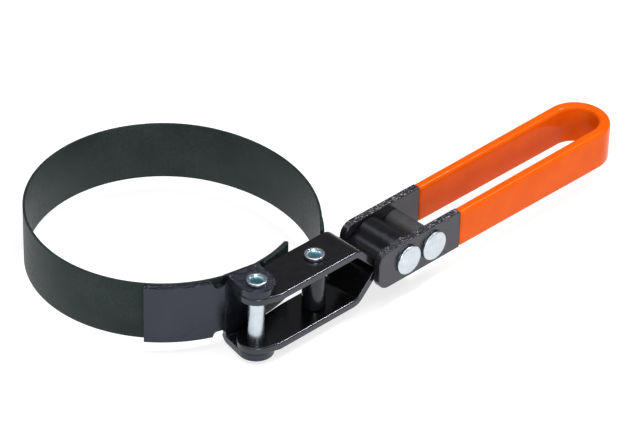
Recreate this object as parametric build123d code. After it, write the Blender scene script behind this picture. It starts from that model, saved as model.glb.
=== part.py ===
from build123d import *
from math import acos, asin, atan2, cos, degrees, hypot, radians, sin
import os

# Swivel-handle band wrench for oil filters, in millimetres.
# The band's axis is Z and its round part is centred on the origin.
# The yoke and the handle point along +X, on a line beside the band.

# Band
band_inner_radius = 46.1
band_thickness = 0.9
band_width = 22.0
round_end_angle = 25.0          # where the band leaves the round and runs wider
wide_arc_extra = 10.0           # how much larger the wider arc's radius is
bracket_start_angle = 220.2
tail_end_angle = 288.5
tail_fold_angle = 271.4         # the folded layer of the tail starts here
flex_gap = 0.3                  # slit between two lengths of the band
flex_angles_round = (165.0, 110.0, 55.0)
flex_angle_wide = 5.0
last_flex_lead = 7.8            # from the last slit to the start of the straight run
band_end_clearance = 1.3        # from the band's end to the yoke's side

# Line of the yoke and of the handle, and the two upright pins on it
yoke_band_gap = 2.3             # from the band's outer face to the yoke's side
bracket_pin_x = -11.0
pin_spacing = 26.2
pin_radius = 2.8
pin_bore_radius = 2.0
pin_rim_radius = 3.45
pin_rim_height = 1.3
pin_rim_round = 0.45
pin_mouth_radius = 2.55
running_clearance = 0.05

# Eye clip: a strap rolled round the band pin and welded to the band's end
clip_thickness = 0.8
clip_pin_clearance = 0.4
clip_side_clearance = 0.4
clip_strap_step = 2.0           # how much lower the strap is than the roll, on each side
clip_lap_lead = 7.2
clip_roll_angle = 335.0

# Yoke: one strip bent round the swivel bush
yoke_thickness = 2.7
yoke_width = 15.8
yoke_inner_gap = 17.2
yoke_bend_radius = 4.5
yoke_flare_angle = 45.0
throat_radius = 6.0
throat_gap = 0.3
nose_radius = 6.4
nose_taper_near = 3.8           # from the bracket pin to the taper on the near side
nose_taper_far = 19.0
yoke_edge_round = 0.5

# Bracket
bracket_thickness = 2.5
bracket_plate_height = 21.6
ear_gap = 0.1                   # from a yoke leg to the ear beside it
ear_radius = 6.2
ear_bend_radius = 3.3
web_lap_angle = 1.0             # how far the plate runs into the flat web
relief_radius = 2.2
relief_angle = 2.0              # from the web's edge to the middle of a relief

# Swivel and handle
swivel_spacing = 32.8           # from the band pin to the swivel
spacer_spacing = 12.0           # from the swivel to the spacer rivet
rivet_radius = 3.0
rivet_head_radius = 5.3
rivet_head_height = 1.7
rivet_head_edge = 1.2           # height of the head's upright edge, below its crown
bush_radius = 4.2
sleeve_radius = 4.1
handle_thickness = 2.8
handle_side_clearance = 0.4     # between a handle leg and the yoke's side
tab_height = 14.8
loop_strip_height = 13.4
near_nose_length = 13.2         # from the swivel to the end of the near tab
far_nose_length = 10.2
leg_nose_round = 4.6
tab_end_length = 25.0           # from the swivel to the start of the grip
loop_leg_length = 69.2          # from the start of the grip to the loop's centre
grip_coat = 0.75
grip_edge_round = 1.3
handle_edge_round = 0.35

# Sizes that follow from the ones above
band_outer_radius = band_inner_radius + band_thickness
band_middle_radius = band_inner_radius + band_thickness / 2
line_y = -(band_outer_radius + yoke_band_gap + yoke_width / 2)
bracket_pin = (bracket_pin_x, line_y)
band_pin = (bracket_pin_x + pin_spacing, line_y)
swivel_x = band_pin[0] + swivel_spacing
spacer_x = swivel_x + spacer_spacing
grip_start_x = swivel_x + tab_end_length
loop_centre_x = grip_start_x + loop_leg_length
yoke_half_gap = yoke_inner_gap / 2
yoke_half_height = yoke_half_gap + yoke_thickness
ear_inner_height = yoke_half_height + ear_gap
ear_outer_height = ear_inner_height + bracket_thickness
eye_inner_radius = bush_radius + running_clearance
eye_middle_radius = eye_inner_radius + yoke_thickness / 2
handle_half_gap = yoke_width / 2 + handle_side_clearance
handle_half_width = handle_half_gap + handle_thickness
clip_inner_radius = pin_radius + clip_pin_clearance
clip_middle_radius = clip_inner_radius + clip_thickness / 2
clip_half_width = yoke_half_gap - clip_side_clearance
wide_radius = band_middle_radius + wide_arc_extra
wide_centre = (
    -wide_arc_extra * cos(radians(round_end_angle)),
    -wide_arc_extra * sin(radians(round_end_angle)),
)


def polar(centre, radius, angle):
    """Point at a radius and an angle in degrees about a centre."""
    return (
        centre[0] + radius * cos(radians(angle)),
        centre[1] + radius * sin(radians(angle)),
    )


def straight_start_angle():
    """Angle on the wide arc where the band runs straight towards the band pin."""
    across = band_pin[0] - wide_centre[0]
    along = band_pin[1] - wide_centre[1]
    offset = clip_middle_radius - (clip_thickness + band_thickness) / 2
    spread = degrees(acos((wide_radius - offset) / hypot(across, along)))
    return degrees(atan2(along, across)) + spread


straight_angle = straight_start_angle()


def sector(centre, radius, thickness, start, end):
    """Flat ring sector, thickness centred on the radius, from start to end in degrees."""
    inner = radius - thickness / 2
    outer = radius + thickness / 2
    outer_arc = CenterArc(centre, outer, start, end - start)
    inner_arc = CenterArc(centre, inner, start, end - start)
    first_side = Line(inner_arc @ 0, outer_arc @ 0)
    last_side = Line(inner_arc @ 1, outer_arc @ 1)
    return make_face([outer_arc, last_side, inner_arc, first_side])


def bar(start, end, thickness):
    """Flat bar of a given thickness along the line from start to end."""
    length = hypot(end[0] - start[0], end[1] - start[1])
    angle = degrees(atan2(end[1] - start[1], end[0] - start[0]))
    middle = ((start[0] + end[0]) / 2, (start[1] + end[1]) / 2)
    return Pos(*middle) * Rot(0, 0, angle) * Rectangle(length, thickness)


def upright(face, half_height):
    """Solid of a plan face between minus and plus the half height."""
    return extrude(face, amount=half_height, both=True)


def across_line(face, half_width):
    """Solid of a side profile (X, Z) that spans the pins' line to both sides."""
    side = Pos(0, line_y, 0) * Rot(90, 0, 0) * face
    return extrude(side, amount=half_width, both=True)


def upright_rod(place, radius, half_height):
    return Pos(place[0], place[1], 0) * Cylinder(radius, 2 * half_height)


def cross_rod(x, radius, half_width):
    return Pos(x, line_y, 0) * Rot(90, 0, 0) * Cylinder(radius, 2 * half_width)


def band_spans():
    """The lengths of the band, from its clamped tail round to the band pin."""
    half_gap_round = degrees(flex_gap / 2 / band_middle_radius)
    half_gap_wide = degrees(flex_gap / 2 / wide_radius)
    origin = (0, 0)
    first, second, third = flex_angles_round
    fourth = flex_angle_wide
    fifth = straight_angle + last_flex_lead

    def round_part(start, end):
        return sector(origin, band_middle_radius, band_thickness, start, end)

    def wide_part(start, end):
        return sector(wide_centre, wide_radius, band_thickness, start, end)

    tail = sector(origin, band_outer_radius, 2 * band_thickness, tail_fold_angle, tail_end_angle)
    straight_start = polar(wide_centre, wide_radius, straight_angle)
    run = (line_y + yoke_width / 2 + band_end_clearance) - straight_start[1]
    slope = radians(straight_angle - 90)
    straight_end = (straight_start[0] + run / sin(slope) * cos(slope), straight_start[1] + run)
    plans = [
        round_part(first + half_gap_round, tail_end_angle) + tail,
        round_part(second + half_gap_round, first - half_gap_round),
        round_part(third + half_gap_round, second - half_gap_round),
        round_part(round_end_angle, third - half_gap_round)
        + wide_part(fourth + half_gap_wide, round_end_angle),
        wide_part(fifth + half_gap_wide, fourth - half_gap_wide),
        wide_part(straight_angle, fifth - half_gap_wide)
        + bar(straight_start, straight_end, band_thickness),
    ]
    return [upright(plan, band_width / 2) for plan in plans]


def eye_clip():
    """Strap on the band's outer face that is rolled round the band pin."""
    lap_radius = wide_radius + (band_thickness + clip_thickness) / 2
    lap_angle = straight_angle + clip_lap_lead
    lap = sector(wide_centre, lap_radius, clip_thickness, straight_angle, lap_angle)
    strap_start = polar(wide_centre, lap_radius, straight_angle)
    strap_end = polar(band_pin, clip_middle_radius, straight_angle)
    strap = bar(strap_start, strap_end, clip_thickness)
    roll_end = straight_angle - clip_roll_angle
    roll = sector(band_pin, clip_middle_radius, clip_thickness, roll_end, straight_angle)
    return upright(lap + strap, clip_half_width - clip_strap_step) + upright(roll, clip_half_width)


def tubular_pin(place, grip_half_height):
    """Hollow upright rivet with a rolled rim at each end."""
    shaft = upright_rod(place, pin_radius, grip_half_height)
    rim = Cylinder(pin_rim_radius, pin_rim_height)
    rim = fillet(rim.edges().filter_by(GeomType.CIRCLE), pin_rim_round)
    rim_height = grip_half_height + pin_rim_height / 2
    for side in (-1, 1):
        shaft += Pos(place[0], place[1], side * rim_height) * rim
    mouth_depth = pin_mouth_radius - pin_bore_radius
    end_height = grip_half_height + pin_rim_height
    shaft -= upright_rod(place, pin_bore_radius, end_height)
    mouth = Cone(pin_bore_radius, pin_mouth_radius, 2 * mouth_depth)
    for turn, side in ((0, 1), (180, -1)):
        height = side * (end_height - mouth_depth)
        shaft -= Pos(place[0], place[1], height) * Rot(turn, 0, 0) * mouth
    return shaft


def ear_profile():
    """Section (outwards, Z) of the bracket's web and of the two ears bent from it."""
    reach = hypot(*bracket_pin) + ear_radius
    length = reach - band_outer_radius
    outside = Rectangle(length, 2 * ear_outer_height)
    outside = fillet(outside.vertices().sort_by(Axis.X)[:2], ear_bend_radius)
    inside = Rectangle(length, 2 * ear_inner_height)
    inside = fillet(inside.vertices().sort_by(Axis.X)[:2], ear_bend_radius - bracket_thickness)
    middle = band_outer_radius + length / 2
    return Pos(middle, 0) * outside - Pos(middle + bracket_thickness, 0) * inside


def bracket():
    """Clamp plate on the band's outer face, with two ears that carry the bracket pin."""
    origin = (0, 0)
    middle = band_outer_radius + bracket_thickness / 2
    ear_angle = degrees(atan2(bracket_pin[1], bracket_pin[0])) + 360
    web_start = ear_angle - degrees(asin(ear_radius / band_outer_radius))
    body = extrude(Rot(90, 0, 0) * ear_profile(), amount=ear_radius, both=True)
    body = Rot(0, 0, ear_angle) * body
    ear_plan = bar(origin, bracket_pin, 2 * ear_radius) + Pos(*bracket_pin) * Circle(ear_radius)
    body &= upright(ear_plan, 2 * ear_outer_height)
    plate_end = web_start + web_lap_angle
    plate_plan = sector(origin, middle, bracket_thickness, bracket_start_angle, plate_end)
    body += upright(plate_plan, bracket_plate_height / 2)
    for side in (-1, 1):
        place = Rot(0, 0, web_start - relief_angle) * Pos(middle, 0, side * bracket_plate_height / 2)
        body -= place * Rot(0, 90, 0) * Cylinder(relief_radius, 2 * bracket_thickness)
    body -= upright_rod(bracket_pin, pin_radius, 2 * ear_outer_height)
    return body


def yoke_profile():
    """Side profile (X, Z) of the yoke's strip: two legs, a flare, a throat and an eye."""
    leg_middle = yoke_half_gap + yoke_thickness / 2
    throat_height = throat_gap / 2 + yoke_thickness / 2 + throat_radius
    centre_distance = eye_middle_radius + throat_radius
    throat_x = swivel_x - (centre_distance**2 - throat_height**2) ** 0.5
    throat = (throat_x, throat_height)
    flare = radians(yoke_flare_angle)
    flare_start = (
        throat_x - throat_radius * sin(flare),
        throat_height - throat_radius * cos(flare),
    )
    flare_top = leg_middle - yoke_bend_radius * (1 - cos(flare))
    flare_end = (flare_start[0] - (flare_top - flare_start[1]) / sin(flare) * cos(flare), flare_top)
    bend = (flare_end[0] - yoke_bend_radius * sin(flare), leg_middle - yoke_bend_radius)
    leg_start = (bracket_pin[0] - nose_radius, leg_middle)
    join_angle = degrees(asin(throat_height / centre_distance))
    half = bar(leg_start, (bend[0], leg_middle), yoke_thickness)
    half += sector(bend, yoke_bend_radius, yoke_thickness, 90 - yoke_flare_angle, 90)
    half += bar(flare_end, flare_start, yoke_thickness)
    half += sector(throat, throat_radius, yoke_thickness, 270 - yoke_flare_angle, 360 - join_angle)
    half += sector((swivel_x, 0), eye_middle_radius, yoke_thickness, 0, 180 - join_angle)
    return half + mirror(half, about=Plane.XZ)


def yoke_plan():
    """Plan outline of the yoke, with the tapered nose round the bracket pin."""
    half_width = yoke_width / 2
    far_end = swivel_x + eye_middle_radius + yoke_thickness
    nose = Circle(nose_radius)
    near_corner = (nose_taper_near, -half_width)
    far_corner = (nose_taper_far, half_width)
    reach = far_end - bracket_pin[0]
    far_side = Line(far_corner, (reach, half_width))
    end_side = Line((reach, half_width), (reach, -half_width))
    near_side = Line((reach, -half_width), near_corner)
    return Pos(*bracket_pin) * make_hull([nose.edge(), far_side, end_side, near_side])


def yoke():
    """Forked strip that turns on the bracket pin and carries the band pin."""
    body = across_line(yoke_profile(), yoke_width / 2)
    body &= upright(yoke_plan(), 2 * yoke_half_height)
    side_faces = [
        face
        for face in body.faces().filter_by(Axis.Y)
        if abs(abs(face.center().Y - line_y) - yoke_width / 2) < running_clearance
    ]
    side_edges = [edge for face in side_faces for edge in face.edges()]
    long_edges = [edge for edge in side_edges if edge.length > yoke_thickness + yoke_edge_round]
    body = fillet(long_edges, yoke_edge_round)
    body -= upright_rod(bracket_pin, pin_radius + running_clearance, 2 * yoke_half_height)
    body -= upright_rod(band_pin, pin_radius, 2 * yoke_half_height)
    return body


def loop_plan(inner, outer, start_x):
    """Plan of the handle's loop: two legs and a half-round end."""
    middle = (inner + outer) / 2
    thickness = outer - inner
    centre = (loop_centre_x, line_y)
    plan = sector(centre, middle, thickness, -90, 90)
    for side in (-1, 1):
        leg_y = line_y + side * middle
        plan += bar((start_x, leg_y), (loop_centre_x, leg_y), thickness)
    return plan


def leg_outline(nose_x, height):
    """Side outline (X, Z) of one tab, with its rounded nose."""
    length = grip_start_x - nose_x
    tab = Rectangle(length, height)
    nose_corners = tab.vertices().sort_by(Axis.X)[:2]
    tab = fillet(nose_corners, leg_nose_round)
    return Pos(nose_x + length / 2, 0) * tab


def handle_strip():
    """Flat strip bent into a loop, with two wider tabs that straddle the yoke's eye."""
    body = upright(loop_plan(handle_half_gap, handle_half_width, grip_start_x), loop_strip_height / 2)
    middle = (handle_half_gap + handle_half_width) / 2
    for side, nose_length in ((-1, near_nose_length), (1, far_nose_length)):
        outline = leg_outline(swivel_x - nose_length, tab_height)
        tab = extrude(Rot(90, 0, 0) * outline, handle_thickness / 2, both=True)
        side_edges = [edge for face in tab.faces().filter_by(Axis.Y) for edge in face.edges()]
        rounded_edges = [edge for edge in side_edges if edge.center().X < grip_start_x - handle_edge_round]
        tab = fillet(rounded_edges, handle_edge_round)
        body += Pos(0, line_y + side * middle, 0) * tab
    for hole_x in (swivel_x, spacer_x):
        body -= cross_rod(hole_x, rivet_radius, 2 * handle_half_width)
    return body


def handle_grip():
    """Dipped coat on the loop of the strip."""
    inner = handle_half_gap - grip_coat
    outer = handle_half_width + grip_coat
    coat = upright(loop_plan(inner, outer, grip_start_x), loop_strip_height / 2 + grip_coat)
    top = loop_strip_height / 2 + grip_coat
    long_edges = [
        edge
        for edge in coat.edges()
        if abs(abs(edge.center().Z) - top) < running_clearance
        and edge.center().X > grip_start_x + grip_coat
    ]
    coat = fillet(long_edges, grip_edge_round)
    strip = loop_plan(handle_half_gap, handle_half_width, grip_start_x)
    return coat - upright(strip, loop_strip_height / 2)


def crowned_rivet(x):
    """Cross rivet through both tabs, with a thick, slightly crowned head at each end."""
    body = cross_rod(x, rivet_radius, handle_half_width)
    crown = rivet_head_height - rivet_head_edge
    crown_radius = (rivet_head_radius**2 + crown**2) / (2 * crown)
    disc = Pos(0, 0, rivet_head_height / 2) * Cylinder(rivet_head_radius, rivet_head_height)
    head = disc & Pos(0, 0, rivet_head_height - crown_radius) * Sphere(crown_radius)
    for turn, side in ((90, -1), (-90, 1)):
        body += Pos(x, line_y + side * handle_half_width, 0) * Rot(turn, 0, 0) * head
    return body


def spacer(x, outer_radius):
    """Tube on a cross rivet that holds the two tabs apart."""
    return cross_rod(x, outer_radius, handle_half_gap) - cross_rod(x, rivet_radius, handle_half_gap)


nodes = {
    "bracket": bracket(),
    "bracket_pin": tubular_pin(bracket_pin, ear_outer_height),
    "eye_clip": eye_clip(),
    "yoke": yoke(),
    "band_pin": tubular_pin(band_pin, yoke_half_height),
    "handle_strip": handle_strip(),
    "handle_grip": handle_grip(),
    "swivel_rivet": crowned_rivet(swivel_x),
    "swivel_bush": spacer(swivel_x, bush_radius),
    "spacer_rivet": crowned_rivet(spacer_x),
    "spacer_sleeve": spacer(spacer_x, sleeve_radius),
}
for number, span in enumerate(band_spans(), start=1):
    nodes[f"band_span_{number}"] = span

os.makedirs("parts", exist_ok=True)
for name, solid in nodes.items():
    export_step(solid, f"parts/{name}.step")
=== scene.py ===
import math

import bmesh
import bpy
from mathutils import Matrix, Vector


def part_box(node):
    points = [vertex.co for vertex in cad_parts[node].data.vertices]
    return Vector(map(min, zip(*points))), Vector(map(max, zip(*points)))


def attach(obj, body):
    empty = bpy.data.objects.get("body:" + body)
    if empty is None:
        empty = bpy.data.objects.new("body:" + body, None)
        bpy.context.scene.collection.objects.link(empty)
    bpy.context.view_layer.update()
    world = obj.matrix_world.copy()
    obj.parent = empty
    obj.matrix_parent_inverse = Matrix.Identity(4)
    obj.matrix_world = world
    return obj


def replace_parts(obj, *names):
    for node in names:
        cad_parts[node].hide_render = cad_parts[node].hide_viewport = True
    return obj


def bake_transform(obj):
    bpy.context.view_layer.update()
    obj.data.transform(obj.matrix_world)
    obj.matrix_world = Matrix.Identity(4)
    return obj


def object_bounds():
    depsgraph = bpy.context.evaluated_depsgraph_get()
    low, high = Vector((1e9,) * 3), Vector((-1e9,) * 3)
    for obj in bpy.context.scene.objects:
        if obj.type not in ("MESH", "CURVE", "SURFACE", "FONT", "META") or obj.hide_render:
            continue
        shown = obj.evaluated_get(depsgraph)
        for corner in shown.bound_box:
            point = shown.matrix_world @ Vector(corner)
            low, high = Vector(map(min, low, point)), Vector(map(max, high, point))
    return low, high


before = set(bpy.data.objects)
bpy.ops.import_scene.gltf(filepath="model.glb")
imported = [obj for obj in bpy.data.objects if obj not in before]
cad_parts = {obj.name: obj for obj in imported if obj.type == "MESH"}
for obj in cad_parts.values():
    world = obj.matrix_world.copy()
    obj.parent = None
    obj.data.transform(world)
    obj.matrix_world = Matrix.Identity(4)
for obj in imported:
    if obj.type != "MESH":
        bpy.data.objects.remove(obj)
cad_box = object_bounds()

MM = 0.001

# Lengths below are in millimetres and angles in degrees, unless a comment says otherwise.
# A name that ends in EDGE is the radius of a rounded edge.

# Band
BAND_MIDDLE = 46.55             # radius to the middle of the strip, on its round part
BAND_HALF_WIDTH = 11.0
BAND_THICKNESS = 0.9
SHOWN_THICKNESS = 0.86          # a little less, so that the folded layers stay apart
BAND_EDGE = 0.16
WIDE_EXTRA = 10.0               # how much larger the radius of the wider arc is
ROUND_END = 25.0                # where the wider arc starts
FLEX_ANGLES = (137.5, 82.5, 30.0, -15.0)                                # where its pieces meet
BLEND_START = 200.0             # angle listed for where the tail piece would start to follow the next body; not used
TAIL_END = 287.9
TAIL_FREE_END = 271.6
TAIL_HOOK = ((0.62, -0.55), (0.38, 0.1), (0.16, 0.75), (0.03, 1.4))     # lift and turn of points
TAIL_HOOK_END = 2.2
FOLD_LEAD = 0.5                 # from the start of the fold to the tail's end
FOLD_GAP = 0.06

# Yoke, and the end of the band beside it
YOKE_HALF_WIDTH = 7.9
LEAD_GAP = 1.3

# Eye clip
CLIP_THICKNESS = 0.8
CLIP_CLEARANCE = 0.4            # between the roll and its pin
CLIP_LAP = 7.2                  # angle over which the strap lies on the band's arc
CLIP_ROLL = 335.0
CLIP_STEP = 2.0                 # how much lower the strap is than the roll, on each side
CLIP_EDGE = 0.15
ROLL_MARGIN = 0.9               # from the roll's middle line to where the strap takes over

# Tubular pins
PIN_RADIUS = 2.8
PIN_BORE = 2.0
RIM_HEIGHT = 1.3
RIM_RADIUS = 3.45
RIM_BEAD = 0.5                  # rounding under the rim
RIM_EDGE = 0.28                 # rounding above it
RIM_LIP = 0.14                  # rounding where the rim turns into the bore
LIP_FROM_BORE = 0.62
FUNNEL = ((0.36, 0.32), (0.20, 0.65), (0.06, 1.2), (0.0, 1.9))          # out from the bore, down
BORE_FINISH = 2.42              # faces nearer to the axis than this have the bore's finish

# Cross rivets and the tubes round them
SHAFT_RADIUS = 3.0
HEAD_HEIGHT = 1.7
HEAD_CROWN = 0.5                # height of the crowned top
CROWN_MARGIN = 0.45             # from the crown to the head's side
SHOULDER = 0.4                  # radius of the rounding between crown and side
SHOULDER_DROP = 0.37            # from the crown's foot down to that rounding's centre
HEAD_UNDERSIDE = ((0.12, 0.15), (0.35, 0.0))                            # in from the edge, up
BUSH_RADIUS = 4.2
SLEEVE_RADIUS = 4.1
TUBE_EDGE = 0.3

# Handle strip and its dipped coat
HANDLE_THICKNESS = 2.8
LOOP_HALF_GAP = 8.3
COAT_AT_TABS = 0.45
COAT_GROWTH = 0.3               # how much thicker the coat is at the loop's far end
COAT_LIP = 0.08                 # thickness at the very start of the coat
COAT_LIP_LENGTH = 0.9
COAT_LIP_STATIONS = (0.0, 0.12, 0.35, 0.7, 1.2)
LEG_START = 3.0                 # from the start of the coat to its first even station
COAT_EDGE = 1.35

# Floor, in metres
FLOOR_GAP = 0.0002
FLOOR_RADIUS = 6.0


def node_centre(name):
    """Middle of a CAD node's box, in millimetres."""
    low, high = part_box(name)
    return (low + high) / (2 * MM)


def node_high(name):
    """Upper corner of a CAD node's box, in millimetres."""
    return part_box(name)[1] / MM


def node_low(name):
    """Lower corner of a CAD node's box, in millimetres."""
    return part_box(name)[0] / MM


bracket_pin = node_centre("bracket_pin")
band_pin = node_centre("band_pin")
swivel = node_centre("swivel_rivet")
spacer = node_centre("spacer_rivet")
line_y = bracket_pin.y
band_centre = (0, 0)
wide_centre = (
    -WIDE_EXTRA * math.cos(math.radians(ROUND_END)),
    -WIDE_EXTRA * math.sin(math.radians(ROUND_END)),
)
wide_middle = BAND_MIDDLE + WIDE_EXTRA


# ---------------------------------------------------------------- meshes

def polar(centre, radius, angle):
    """Point on a circle."""
    turn = math.radians(angle)
    return (centre[0] + radius * math.cos(turn), centre[1] + radius * math.sin(turn))


def swept(centre, radius, start, end, steps):
    """Points on an arc, in equal steps. In a lathe profile they are (radius, height) pairs."""
    return [polar(centre, radius, start + (end - start) * k / steps) for k in range(steps + 1)]


def arc(centre, radius, start, end, step=1.0):
    """Points on an arc, about one step of angle apart."""
    return swept(centre, radius, start, end, max(1, int(abs(end - start) / step)))


def line(start, end, step=2.0):
    """Points on a straight run, about one step of length apart."""
    steps = max(1, int(math.dist(start, end) / step))
    return [
        (
            start[0] + (end[0] - start[0]) * k / steps,
            start[1] + (end[1] - start[1]) * k / steps,
        )
        for k in range(steps + 1)
    ]


def joined(*runs, nearest=0.02):
    """One path from several runs, without doubled points where they meet."""
    path = []
    for run in runs:
        for point in run:
            if not path or math.dist(path[-1], point) > nearest:
                path.append(point)
    return path


def rounded_outline(half_thickness, half_width, corner, steps=3):
    """Closed outline of a rounded rectangle, as (across the strip, up) pairs."""
    largest_share = 0.98
    corner = min(corner, half_thickness * largest_share, half_width * largest_share)
    points = []
    for side_x, side_z, first in ((1, 1, 0), (-1, 1, 90), (-1, -1, 180), (1, -1, 270)):
        middle = (side_x * (half_thickness - corner), side_z * (half_width - corner))
        points.extend(swept(middle, corner, first, first + 90, steps))
    return points


def finished(name, bm, sharp_angle=40):
    """Object from a bmesh in millimetres, smooth except at its sharp edges."""
    bmesh.ops.recalc_face_normals(bm, faces=bm.faces)
    mesh = bpy.data.meshes.new(name)
    bm.to_mesh(mesh)
    bm.free()
    mesh.transform(Matrix.Scale(MM, 4))
    mesh.polygons.foreach_set("use_smooth", [True] * len(mesh.polygons))
    mesh.set_sharp_from_angle(angle=math.radians(sharp_angle))
    piece = bpy.data.objects.new(name, mesh)
    bpy.context.scene.collection.objects.link(piece)
    return piece


def strip(name, path, outline_at):
    """Upright strip that follows a plan path; outline_at gives its section at each station."""
    bm = bmesh.new()
    rings = []
    for index, (x, y) in enumerate(path):
        before = path[max(0, index - 1)]
        after = path[min(len(path) - 1, index + 1)]
        along = Vector((after[0] - before[0], after[1] - before[1])).normalized()
        side = Vector((along.y, -along.x))
        rings.append([
            bm.verts.new((x + side.x * across, y + side.y * across, up))
            for across, up in outline_at(index)
        ])
    for first, second in zip(rings, rings[1:]):
        for k in range(len(first)):
            after = (k + 1) % len(first)
            bm.faces.new((first[k], first[after], second[after], second[k]))
    bm.faces.new(rings[0])
    bm.faces.new(list(reversed(rings[-1])))
    return finished(name, bm)


def lathe(name, centre, axis, profile, closed=True, segments=72):
    """Turned piece: profile is (radius, height along the axis) pairs about a centre."""
    bm = bmesh.new()
    tilt = Vector((0, 0, 1)).rotation_difference(Vector(axis)).to_matrix().to_4x4()
    place = Matrix.Translation(centre) @ tilt
    rings = []
    on_axis = 1e-6
    for radius, height in profile:
        if radius < on_axis:
            rings.append([bm.verts.new(place @ Vector((0, 0, height)))])
            continue
        ring = []
        for k in range(segments):
            turn = 2 * math.pi * k / segments
            spot = Vector((radius * math.cos(turn), radius * math.sin(turn), height))
            ring.append(bm.verts.new(place @ spot))
        rings.append(ring)
    pairs = list(zip(rings, rings[1:]))
    if closed:
        pairs.append((rings[-1], rings[0]))
    for first, second in pairs:
        for k in range(segments):
            after = (k + 1) % segments
            corners = []
            for vertex in (
                first[k % len(first)], first[after % len(first)],
                second[after % len(second)], second[k % len(second)],
            ):
                if vertex not in corners:
                    corners.append(vertex)
            if len(corners) > 2:
                bm.faces.new(corners)
    return finished(name, bm)


def mirrored(half):
    """Whole lathe profile from its upper half."""
    return half + [(radius, -height) for radius, height in reversed(half)]


def sort_faces(bm):
    """Puts faces in the order of their vertices, since triangulation leaves them in any order."""
    bm.verts.index_update()
    in_order = sorted(bm.faces, key=lambda face: sorted(vertex.index for vertex in face.verts))
    for rank, face in enumerate(in_order):
        face.index = rank
    bm.faces.sort()


def softened(name, node, width):
    """Copy of a CAD node's shape with its sharp edges broken, to stand for that node."""
    flat_angle = math.radians(0.6)
    edge_angle = math.radians(35)
    bm = bmesh.new()
    bm.from_mesh(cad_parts[node].data)
    bm.transform(Matrix.Scale(1 / MM, 4))
    bmesh.ops.remove_doubles(bm, verts=bm.verts, dist=0.002)
    bmesh.ops.dissolve_limit(
        bm, angle_limit=flat_angle, use_dissolve_boundaries=False,
        verts=bm.verts, edges=bm.edges,
    )
    sharp = [
        edge for edge in bm.edges
        if edge.is_manifold and edge.calc_face_angle(0) > edge_angle
    ]
    bmesh.ops.bevel(
        bm, geom=sharp, offset=width, offset_type="OFFSET", segments=2,
        profile=0.5, affect="EDGES", clamp_overlap=True,
    )
    bmesh.ops.triangulate(bm, faces=[face for face in bm.faces if len(face.verts) > 4])
    sort_faces(bm)
    piece = finished(name, bm, sharp_angle=50)
    modifier = piece.modifiers.new("edges", "WEIGHTED_NORMAL")
    modifier.keep_sharp = True
    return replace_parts(piece, node)


# ------------------------------------------------------------- materials

def noise(tree, coordinate, scale, detail, rough=0.5):
    """Fractal noise, from 0 to 1."""
    node = tree.nodes.new("ShaderNodeTexNoise")
    node.inputs["Scale"].default_value = scale
    node.inputs["Detail"].default_value = detail
    node.inputs["Roughness"].default_value = rough
    tree.links.new(coordinate, node.inputs["Vector"])
    return node.outputs["Fac"]


def spread(tree, value, source, result=(0.0, 1.0)):
    """Moves a value from one range to another."""
    node = tree.nodes.new("ShaderNodeMapRange")
    for name, number in zip(("From Min", "From Max", "To Min", "To Max"), (*source, *result)):
        node.inputs[name].default_value = number
    tree.links.new(value, node.inputs["Value"])
    return node.outputs["Result"]


def mixed(tree, factor, first, second):
    """Colour between two, each a colour or the output of another node."""
    node = tree.nodes.new("ShaderNodeMix")
    node.data_type = "RGBA"
    tree.links.new(factor, node.inputs["Factor"])
    for socket, value in ((node.inputs[6], first), (node.inputs[7], second)):
        if isinstance(value, tuple):
            socket.default_value = (*value, 1.0)
        else:
            tree.links.new(value, socket)
    return node.outputs[2]


def product(tree, first, second):
    """Two values multiplied."""
    node = tree.nodes.new("ShaderNodeMath")
    node.operation = "MULTIPLY"
    tree.links.new(first, node.inputs[0])
    tree.links.new(second, node.inputs[1])
    return node.outputs[0]


def bumped(tree, height, strength, distance, below=None):
    """Normal with bumps; the strength is a number or the output of another node."""
    node = tree.nodes.new("ShaderNodeBump")
    node.inputs["Distance"].default_value = distance
    if isinstance(strength, float):
        node.inputs["Strength"].default_value = strength
    else:
        tree.links.new(strength, node.inputs["Strength"])
    tree.links.new(height, node.inputs["Height"])
    if below is not None:
        tree.links.new(below, node.inputs["Normal"])
    return node.outputs["Normal"]


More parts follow.
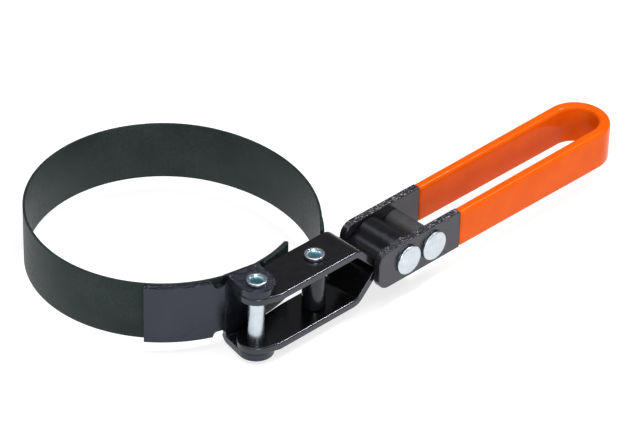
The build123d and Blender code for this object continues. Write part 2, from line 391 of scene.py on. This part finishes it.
def surface(name, dark, light, roughness, grain, bump, rough_edge_and_glints=None, **uniform):
    """Procedural material: mottled colour, uneven gloss, fine bumps, and rough cut edges with
    painted glints if asked.

    grain is (scale, detail), bump is (scale, depth in metres), and rough_edge_and_glints is
    (scale, depth in metres, colour of the painted glints) for the faces that look along Z. The
    glints are lighter spots painted on the bumps of the cut edge; they stand for sparkle, not for
    a colour of the paint."""
    material = bpy.data.materials.new(name)
    material.use_nodes = True
    tree = material.node_tree
    shader = tree.nodes["Principled BSDF"]
    where = tree.nodes.new("ShaderNodeTexCoord")
    place = where.outputs["Object"]
    broad = noise(tree, place, scale=45.0, detail=3.0)
    fine = noise(tree, place, *grain, rough=0.6)
    blotch = spread(tree, product(tree, broad, fine), (0.14, 0.38))
    colour = mixed(tree, blotch, dark, light)
    height = noise(tree, place, scale=bump[0], detail=2.0)
    normal = bumped(tree, height, 0.6, bump[1])
    gloss = spread(tree, fine, (0.25, 0.75), roughness)
    if rough_edge_and_glints:
        scale, depth, glint_colour = rough_edge_and_glints
        split = tree.nodes.new("ShaderNodeSeparateXYZ")
        tree.links.new(where.outputs["Normal"], split.inputs[0])
        upright = tree.nodes.new("ShaderNodeMath")
        upright.operation = "ABSOLUTE"
        tree.links.new(split.outputs["Z"], upright.inputs[0])
        mask = spread(tree, upright.outputs[0], (0.55, 0.9))
        lumps = noise(tree, place, scale=scale, detail=2.0, rough=0.7)
        normal = bumped(tree, lumps, mask, depth, normal)
        # Lighter spots on the faces that look along Z are painted glints: colour that stands for
        # sparkle on the rough cut edge.
        painted_glints = product(tree, spread(tree, lumps, (0.56, 0.72)), mask)
        colour = mixed(tree, painted_glints, colour, glint_colour)
    tree.links.new(colour, shader.inputs["Base Color"])
    tree.links.new(gloss, shader.inputs["Roughness"])
    tree.links.new(normal, shader.inputs["Normal"])
    for socket, value in uniform.items():
        shader.inputs[socket.replace("_", " ")].default_value = value
    return material


def dress(piece, material):
    """Gives a piece one material."""
    piece.data.materials.clear()
    piece.data.materials.append(material)
    return piece


black_paint = surface(
    "black_paint", dark=(0.0022, 0.0021, 0.0023), light=(0.0048, 0.0045, 0.0047),
    roughness=(0.15, 0.23), grain=(500.0, 3.0), bump=(650.0, 0.000012),
    Specular_IOR_Level=0.74, Specular_Tint=(0.82, 0.86, 1.0, 1.0),
)
bracket_paint = surface(
    "bracket_paint", dark=(0.0040, 0.0042, 0.0055), light=(0.0090, 0.0092, 0.0120),
    roughness=(0.20, 0.29), grain=(500.0, 3.0), bump=(700.0, 0.000016),
    # On the cut edge, dark-grey spots are painted as glints.
    rough_edge_and_glints=(900.0, 0.0006, (0.02, 0.02, 0.022)),
    Specular_IOR_Level=0.62, Specular_Tint=(0.70, 0.78, 1.0, 1.0),
)
handle_paint = surface(
    "handle_paint", dark=(0.0090, 0.0090, 0.0115), light=(0.0160, 0.0160, 0.0195),
    roughness=(0.17, 0.25), grain=(600.0, 3.0), bump=(700.0, 0.000016),
    # On the cut edge, light-grey spots are painted as glints, standing for sparkle on the rough
    # edge.
    rough_edge_and_glints=(1000.0, 0.0007, (0.30, 0.30, 0.32)),
    Specular_IOR_Level=0.62, Specular_Tint=(0.86, 0.88, 1.0, 1.0),
)
sleeve_paint = surface(
    "sleeve_paint", dark=(0.022, 0.022, 0.024), light=(0.040, 0.040, 0.043),
    roughness=(0.45, 0.60), grain=(500.0, 4.0), bump=(800.0, 0.00004),
)
band_steel = surface(
    "band_steel", dark=(0.0015, 0.0040, 0.0042), light=(0.0155, 0.0225, 0.0222),
    roughness=(0.40, 0.62), grain=(1100.0, 5.0), bump=(1400.0, 0.00009),
    Specular_IOR_Level=0.30, Specular_Tint=(0.82, 1.0, 0.98, 1.0),
)
clip_paint = surface(
    "clip_paint", dark=(0.0035, 0.0042, 0.0055), light=(0.0070, 0.0085, 0.0110),
    roughness=(0.16, 0.25), grain=(500.0, 3.0), bump=(600.0, 0.00003),
)
zinc = surface(
    "zinc", dark=(0.50, 0.555, 0.60), light=(0.62, 0.68, 0.73),
    roughness=(0.22, 0.36), grain=(420.0, 4.0), bump=(500.0, 0.000012), Metallic=1.0,
)
blue_zinc = surface(
    "blue_zinc", dark=(0.60, 0.84, 0.95), light=(0.74, 0.93, 1.0),
    roughness=(0.24, 0.40), grain=(420.0, 4.0), bump=(500.0, 0.00001), Metallic=1.0,
)
vinyl = surface(
    "vinyl", dark=(0.655, 0.080, 0.0018), light=(0.720, 0.097, 0.0028),
    roughness=(0.13, 0.19), grain=(120.0, 2.0), bump=(300.0, 0.000012),
    Specular_IOR_Level=0.11, Specular_Tint=(1.0, 0.70, 0.38, 1.0),
)


# ------------------------------------------------------------------ band

flex_1, flex_2, flex_3, flex_4 = FLEX_ANGLES


def band_outline(index):
    return rounded_outline(SHOWN_THICKNESS / 2, BAND_HALF_WIDTH, BAND_EDGE)


def round_arc(start, end):
    return arc(band_centre, BAND_MIDDLE, start, end)


def wide_arc(start, end):
    return arc(wide_centre, wide_middle, start, end)


def tail_path():
    """From the free end of the folded layer, round the fold, to the band's inner layer."""
    fold_start = TAIL_END - FOLD_LEAD
    fold_radius = (SHOWN_THICKNESS + FOLD_GAP) / 2
    layer = BAND_MIDDLE + 2 * fold_radius
    fold_centre = polar(band_centre, BAND_MIDDLE + fold_radius, fold_start)
    hook = [polar(band_centre, layer + lift, TAIL_FREE_END + turn) for lift, turn in TAIL_HOOK]
    fold = arc(fold_centre, fold_radius, fold_start, fold_start + 180, step=18)
    return joined(
        hook,
        arc(band_centre, layer, TAIL_FREE_END + TAIL_HOOK_END, fold_start),
        fold[1:-1],
        round_arc(fold_start, flex_1),
    )


# The straight lead runs at a tangent to the wider arc, so that the clip's roll meets its pin.
lap_height = (CLIP_THICKNESS + BAND_THICKNESS) / 2
clip_middle = PIN_RADIUS + CLIP_CLEARANCE + CLIP_THICKNESS / 2
strap_offset = clip_middle - lap_height
to_pin = Vector((band_pin.x - wide_centre[0], band_pin.y - wide_centre[1]))
straight_angle = math.degrees(
    math.atan2(to_pin.y, to_pin.x) + math.acos((wide_middle - strap_offset) / to_pin.length)
)
straight_start = polar(wide_centre, wide_middle, straight_angle)
slope = math.radians(straight_angle - 90)
straight_run = (line_y + YOKE_HALF_WIDTH + LEAD_GAP - straight_start[1]) / math.sin(slope)
straight_end = (
    straight_start[0] + straight_run * math.cos(slope),
    straight_start[1] + straight_run * math.sin(slope),
)

right_path = joined(round_arc(flex_3, ROUND_END), wide_arc(ROUND_END, flex_4))
lead_path = joined(wide_arc(flex_4, straight_angle), line(straight_start, straight_end))

# Name, path, the two bodies, the nodes it stands for, and the angles where its bend would start
# and end; without an angle that would be the piece's own end. The loop reads the bodies and angles
# but
# does not use them: no piece is attached to a body or bent.
band_runs = (
    ("band_tail", tail_path(), "clamp", "band_2", ("band_span_1",), BLEND_START, flex_1),
    ("band_left", round_arc(flex_1, flex_2), "band_2", "band_3", ("band_span_2",), flex_1, flex_2),
    ("band_back", round_arc(flex_2, flex_3), "band_3", "band_4", ("band_span_3",), flex_2, flex_3),
    ("band_right", right_path, "band_4", "band_5", ("band_span_4",), flex_3, None),
    ("band_lead", lead_path, "band_5", "band_end", ("band_span_5", "band_span_6"), None, None),
)
for name, path, first, second, nodes, start_angle, end_angle in band_runs:
    piece = dress(strip(name, path, band_outline), band_steel)
    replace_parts(piece, *nodes)
    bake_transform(piece)


# ------------------------------------------------------- clip on the band

lap_radius = wide_middle + lap_height
roll_centre = (band_pin.x, band_pin.y)
clip_path = joined(
    arc(wide_centre, lap_radius, straight_angle + CLIP_LAP, straight_angle, step=0.6),
    line(
        polar(wide_centre, lap_radius, straight_angle),
        polar(roll_centre, clip_middle, straight_angle),
    ),
    arc(roll_centre, clip_middle, straight_angle, straight_angle - CLIP_ROLL, step=5),
)
clip_half_width = node_high("eye_clip").z


def clip_outline(index):
    """The strap is lower than the roll that it ends in."""
    x, y = clip_path[index]
    rolled = math.hypot(x - band_pin.x, y - band_pin.y) < clip_middle + ROLL_MARGIN
    half_width = clip_half_width if rolled else clip_half_width - CLIP_STEP
    return rounded_outline(CLIP_THICKNESS / 2, half_width, CLIP_EDGE)


clip = strip("eye_strap", clip_path, clip_outline)
dress(clip, clip_paint)
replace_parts(clip, "eye_clip")
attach(clip, "band_end")


# ------------------------------------------------------------------ pins

def rim_profile(shaft_end):
    """Rolled upper end of a tubular rivet, from the shaft outwards and back into the bore."""
    top = shaft_end + RIM_HEIGHT
    return [
        (PIN_RADIUS, shaft_end),
        *swept((RIM_RADIUS - RIM_BEAD, shaft_end + RIM_BEAD), RIM_BEAD, -90, 0, 5),
        *swept((RIM_RADIUS - RIM_EDGE, top - RIM_EDGE), RIM_EDGE, 0, 90, 5),
        *swept((PIN_BORE + LIP_FROM_BORE, top - RIM_LIP), RIM_LIP, 90, 150, 4),
        *[(PIN_BORE + out, top - down) for out, down in FUNNEL],
    ]


def tubular_rivet(name, node, body, centre):
    """Bored upright pin with a rolled rim at each end, and a bluer finish in its bore."""
    profile = mirrored(rim_profile(node_high(node).z - RIM_HEIGHT))
    piece = lathe(name, Vector((centre.x, centre.y, 0)), (0, 0, 1), profile)
    dress(piece, zinc)
    piece.data.materials.append(blue_zinc)
    for face in piece.data.polygons:
        off_axis = math.hypot(face.center.x / MM - centre.x, face.center.y / MM - centre.y)
        face.material_index = 1 if off_axis < BORE_FINISH else 0
    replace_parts(piece, node)
    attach(piece, body)


tubular_rivet("clamp_pin", "bracket_pin", "clamp", bracket_pin)
tubular_rivet("lead_pin", "band_pin", "yoke", band_pin)


# ------------------------------------------------- rivets of the handle

def crowned_rivet(name, node, centre):
    """Solid rivet with a slightly crowned head at each end."""
    high = node_high(node).y - centre.y
    head_radius = (node_high(node).x - node_low(node).x) / 2
    crown_radius = (head_radius**2 + HEAD_CROWN**2) / (2 * HEAD_CROWN)
    reach = math.degrees(math.asin((head_radius - CROWN_MARGIN) / crown_radius))
    crown_steps = 10
    crown_turns = [math.radians(reach * k / crown_steps) for k in range(crown_steps + 1)]
    shoulder_centre = (head_radius - SHOULDER, high - HEAD_CROWN - SHOULDER_DROP)
    half = [
        *[
            (crown_radius * math.sin(turn), high - crown_radius + crown_radius * math.cos(turn))
            for turn in crown_turns
        ],
        *swept(shoulder_centre, SHOULDER, 82, 0, 6),
        *[(head_radius - inward, high - HEAD_HEIGHT + up) for inward, up in HEAD_UNDERSIDE],
        (SHAFT_RADIUS, high - HEAD_HEIGHT),
    ]
    piece = lathe(name, centre, (0, 1, 0), mirrored(half), closed=False)
    dress(piece, zinc)
    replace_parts(piece, node)
    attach(piece, "handle")


def tube(name, node, outer, material):
    """Plain tube round a cross rivet's shaft."""
    high = node_high(node).y - node_centre(node).y
    edge = swept((outer - TUBE_EDGE, high - TUBE_EDGE), TUBE_EDGE, 0, 90, 4)
    half = [(SHAFT_RADIUS, high), *reversed(edge)]
    piece = lathe(name, node_centre(node), (0, 1, 0), mirrored(half))
    dress(piece, material)
    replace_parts(piece, node)
    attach(piece, "handle")


crowned_rivet("swivel_pin", "swivel_rivet", swivel)
crowned_rivet("spacer_pin", "spacer_rivet", spacer)
tube("swivel_tube", "swivel_bush", BUSH_RADIUS, black_paint)
tube("spacer_tube", "spacer_sleeve", SLEEVE_RADIUS, sleeve_paint)


# --------------------------------------------------- bracket, yoke, strip

clamp_plate = softened("clamp_plate", "bracket", width=0.3)
dress(clamp_plate, bracket_paint)
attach(clamp_plate, "clamp")

fork = softened("fork", "yoke", width=0.12)
dress(fork, black_paint)
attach(fork, "yoke")

handle_frame = softened("handle_frame", "handle_strip", width=0.25)
dress(handle_frame, handle_paint)
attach(handle_frame, "handle")


# ------------------------------------------------------------------ grip

grip_low, grip_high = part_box("handle_grip")
grip_start = grip_low.x / MM
grip_end = grip_high.x / MM
coat = COAT_AT_TABS + COAT_GROWTH
strip_half = HANDLE_THICKNESS / 2
leg_middle = LOOP_HALF_GAP + strip_half
loop_centre = (grip_end - leg_middle - strip_half - coat, line_y)
grip_half_height = grip_high.z / MM - coat
near_y = line_y - leg_middle
far_y = line_y + leg_middle
grip_path = joined(
    [(grip_start + along, near_y) for along in COAT_LIP_STATIONS],
    line((grip_start + LEG_START, near_y), (loop_centre[0], near_y)),
    arc(loop_centre, leg_middle, -90, 90, step=3),
    line((loop_centre[0], far_y), (grip_start + LEG_START, far_y)),
    [(grip_start + along, far_y) for along in reversed(COAT_LIP_STATIONS)],
)


def coat_at(index):
    """Thickness of the dipped coat: a rounded lip at its start, thicker towards the loop."""
    along = max(0.0, grip_path[index][0] - grip_start)
    share = min(1.0, along / (grip_end - grip_start))
    full = COAT_AT_TABS + COAT_GROWTH * share
    lip = math.sqrt(max(0.0, 1 - max(0.0, 1 - along / COAT_LIP_LENGTH) ** 2))
    return COAT_LIP + (full - COAT_LIP) * lip


def grip_outline(index):
    thick = coat_at(index)
    return rounded_outline(strip_half + thick, grip_half_height + thick, COAT_EDGE, steps=7)


grip = strip("grip_coat", grip_path, grip_outline)
dress(grip, vinyl)
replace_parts(grip, "handle_grip")
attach(grip, "handle")


# ------------------------------------------------------- floor and light

def floor_plate(level, radius):
    """White disc that glows a little, as on a light table; level and radius are in metres."""
    bm = bmesh.new()
    bmesh.ops.create_circle(bm, cap_ends=True, segments=96, radius=radius / MM)
    piece = finished("floor", bm)
    piece.location.z = level
    material = bpy.data.materials.new("floor_white")
    material.use_nodes = True
    tree = material.node_tree
    shader = tree.nodes["Principled BSDF"]
    where = tree.nodes.new("ShaderNodeTexCoord")
    shade = noise(tree, where.outputs["Object"], scale=3.0, detail=2.0)
    tone = mixed(tree, shade, (0.36, 0.36, 0.36), (0.39, 0.39, 0.39))
    tree.links.new(tone, shader.inputs["Base Color"])
    shader.inputs["Roughness"].default_value = 0.8
    shader.inputs["Specular IOR Level"].default_value = 0.1
    shader.inputs["Emission Color"].default_value = (1.0, 1.0, 1.0, 1.0)
    shader.inputs["Emission Strength"].default_value = 0.72
    piece.data.materials.append(material)


def aimed(thing, place, target, roll=0.0):
    """Turns a camera or lamp at a place so that it looks at the target, both in metres."""
    look = (Vector(target) - Vector(place)).to_track_quat("-Z", "Y").to_matrix().to_4x4()
    turn = Matrix.Rotation(math.radians(roll), 4, "Z")
    thing.matrix_world = Matrix.Translation(place) @ look @ turn


def soft_light(name, place, target, size, power):
    """Round area lamp; size is in metres and power in watts."""
    lamp = bpy.data.lights.new(name, "AREA")
    lamp.shape = "DISK"
    lamp.size = size
    lamp.energy = power
    thing = bpy.data.objects.new(name, lamp)
    bpy.context.scene.collection.objects.link(thing)
    aimed(thing, place, target)


floor_plate(cad_box[0].z - FLOOR_GAP, FLOOR_RADIUS)
soft_light("overhead", (-0.25, -0.1, 2.3), (0.05, -0.03, 0), size=3.2, power=60)
soft_light("edge_right", (1.15, -0.28, 1.66), (0.06, -0.06, 0), size=0.30, power=24)
soft_light("front_left", (-1.1, -2.1, 0.75), (0.03, -0.04, 0), size=1.0, power=27)

world = bpy.data.worlds.new("studio")
world.use_nodes = True
background = world.node_tree.nodes["Background"]
background.inputs["Color"].default_value = (0.97, 0.95, 1.0, 1)
background.inputs["Strength"].default_value = 0.17
bpy.context.scene.world = world
bpy.context.scene.view_settings.view_transform = "Standard"

lens = bpy.data.cameras.new("camera")
lens.lens = 235.95
lens.sensor_width = 36.0
lens.clip_start = 0.05
lens.clip_end = 30.0
camera = bpy.data.objects.new("camera", lens)
bpy.context.scene.collection.objects.link(camera)
aimed(
    camera, place=(-0.76798, -0.84400, 0.81717), target=(0.04408, -0.02951, 0.0), roll=1.279,
)
bpy.context.scene.camera = camera
